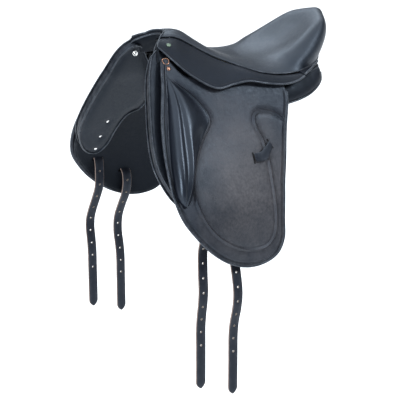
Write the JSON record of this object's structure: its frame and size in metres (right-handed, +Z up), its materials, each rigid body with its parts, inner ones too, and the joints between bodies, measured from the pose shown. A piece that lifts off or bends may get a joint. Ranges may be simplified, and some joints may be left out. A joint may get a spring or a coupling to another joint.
{
  "type": "english saddle",
  "caption": "Black dressage-style riding saddle with a deep dished seat, single long flaps, outside knee blocks, stuffed panels and long girth straps with rows of holes.",
  "frame": {"origin": "on the centre plane, on the underside of the gullet lining below the lowest part of the dished top, where a rack's centre lies under the saddle", "axes": "+X forward towards the pommel, +Y towards the rider's left, +Z up"},
  "size_m": [0.5918, 0.6142, 0.8404],
  "materials": {
    "seat_leather": "smooth semi-gloss black leather",
    "skirt_leather": "smooth black leather",
    "flap_leather": "matt grained black leather",
    "sweat_leather": "matt black leather",
    "block_leather": "smooth black leather over foam",
    "panel_cushion": "soft black leather over wool",
    "lining_leather": "soft black lining leather",
    "strap_leather": "black bridle leather with raw edges",
    "keeper_leather": "smooth dark leather",
    "foam": "open foam",
    "webbing": "woven webbing",
    "tree_wood": "laminated wood",
    "steel": "plain steel",
    "bright_steel": "bright",
    "copper_plate": "copper toned plate",
    "nail_brass": "dulled brass"
  },
  "bodies": {
    "saddle": {"seat_cover": "seat_leather", "seat_foam": "foam", "seat_webbing": "webbing", "tree_frame": "tree_wood", "head_plate": "steel", "gullet_lining": "lining_leather", "pommel_facing": "lining_leather", "skirt_band_L": "skirt_leather", "skirt_band_R": "skirt_leather", "flap_top_L": "flap_leather", "flap_top_R": "flap_leather", "panel_L": "panel_cushion", "panel_R": "panel_cushion", "panel_head_L": "panel_cushion", "panel_head_R": "panel_cushion", "stirrup_bar_L": "steel", "stirrup_bar_R": "steel", "dee_staple_L": "skirt_leather", "dee_staple_R": "skirt_leather", "saddle_nail_L": "nail_brass", "saddle_nail_R": "nail_brass", "flap_nail_L": "copper_plate", "flap_nail_R": "copper_plate", "panel_button_L": "bright_steel", "panel_button_R": "bright_steel"},
    "flap_L_body": {"flap_L": "flap_leather", "sweat_flap_L": "sweat_leather", "panel_lobe_L": "panel_cushion", "knee_block_L": "block_leather", "keeper_L": "keeper_leather", "strap_root_front_L": "strap_leather", "strap_root_rear_L": "strap_leather", "knee_screw_1_L": "bright_steel", "knee_screw_2_L": "bright_steel", "knee_screw_3_L": "bright_steel"},
    "skirt_L_body": {"skirt_lobe_L": "skirt_leather"},
    "front_strap_L_body": {"girth_strap_front_L": "strap_leather"},
    "rear_strap_L_body": {"girth_strap_rear_L": "strap_leather"},
    "dee_L_body": {"dee_L": "copper_plate"},
    "catch_L_body": {"bar_catch_L": "steel"},
    "flap_R_body": {"flap_R": "flap_leather", "sweat_flap_R": "sweat_leather", "panel_lobe_R": "panel_cushion", "knee_block_R": "block_leather", "keeper_R": "keeper_leather", "strap_root_front_R": "strap_leather", "strap_root_rear_R": "strap_leather", "knee_screw_1_R": "bright_steel", "knee_screw_2_R": "bright_steel", "knee_screw_3_R": "bright_steel"},
    "skirt_R_body": {"skirt_lobe_R": "skirt_leather"},
    "front_strap_R_body": {"girth_strap_front_R": "strap_leather"},
    "rear_strap_R_body": {"girth_strap_rear_R": "strap_leather"},
    "dee_R_body": {"dee_R": "copper_plate"},
    "catch_R_body": {"bar_catch_R": "steel"}
  },
  "joints": [
    {"name": "flap_lift_L", "type": "hinge", "parent": "saddle", "child": "flap_L_body", "pos_m": [0.265, 0.133, 0.04], "axis": [0.9785, -0.1426, 0.1493], "range_deg": [0, 40]},
    {"name": "skirt_lift_L", "type": "hinge", "parent": "saddle", "child": "skirt_L_body", "pos_m": [0.246, 0.084, 0.106], "axis": [0.8944, -0.3305, 0.3014], "range_deg": [0, 35]},
    {"name": "front_strap_swing_L", "type": "hinge", "parent": "flap_L_body", "child": "front_strap_L_body", "pos_m": [0.246, 0.27883, -0.26], "axis": [-1, 0, 0], "range_deg": [0, 35]},
    {"name": "rear_strap_swing_L", "type": "hinge", "parent": "flap_L_body", "child": "rear_strap_L_body", "pos_m": [0.168, 0.28616, -0.306], "axis": [-1, 0, 0], "range_deg": [0, 35]},
    {"name": "dee_swing_L", "type": "hinge", "parent": "saddle", "child": "dee_L_body", "pos_m": [0.25, 0.08475, 0.09226], "axis": [1, 0, 0], "range_deg": [0, 40]},
    {"name": "bar_catch_L", "type": "hinge", "parent": "saddle", "child": "catch_L_body", "pos_m": [0.1105, 0.0985, 0.056], "axis": [0, 1, 0], "range_deg": [0, 25]},
    {"name": "flap_lift_R", "type": "hinge", "parent": "saddle", "child": "flap_R_body", "pos_m": [0.265, -0.133, 0.04], "axis": [-0.9785, -0.1426, -0.1493], "range_deg": [0, 40]},
    {"name": "skirt_lift_R", "type": "hinge", "parent": "saddle", "child": "skirt_R_body", "pos_m": [0.246, -0.084, 0.106], "axis": [-0.8944, -0.3305, -0.3014], "range_deg": [0, 35]},
    {"name": "front_strap_swing_R", "type": "hinge", "parent": "flap_R_body", "child": "front_strap_R_body", "pos_m": [0.246, -0.27883, -0.26], "axis": [1, 0, 0], "range_deg": [0, 35]},
    {"name": "rear_strap_swing_R", "type": "hinge", "parent": "flap_R_body", "child": "rear_strap_R_body", "pos_m": [0.168, -0.28616, -0.306], "axis": [1, 0, 0], "range_deg": [0, 35]},
    {"name": "dee_swing_R", "type": "hinge", "parent": "saddle", "child": "dee_R_body", "pos_m": [0.25, -0.08475, 0.09226], "axis": [-1, 0, 0], "range_deg": [0, 40]},
    {"name": "bar_catch_R", "type": "hinge", "parent": "saddle", "child": "catch_R_body", "pos_m": [0.1105, -0.0985, 0.056], "axis": [0, 1, 0], "range_deg": [0, 25]}
  ]
}
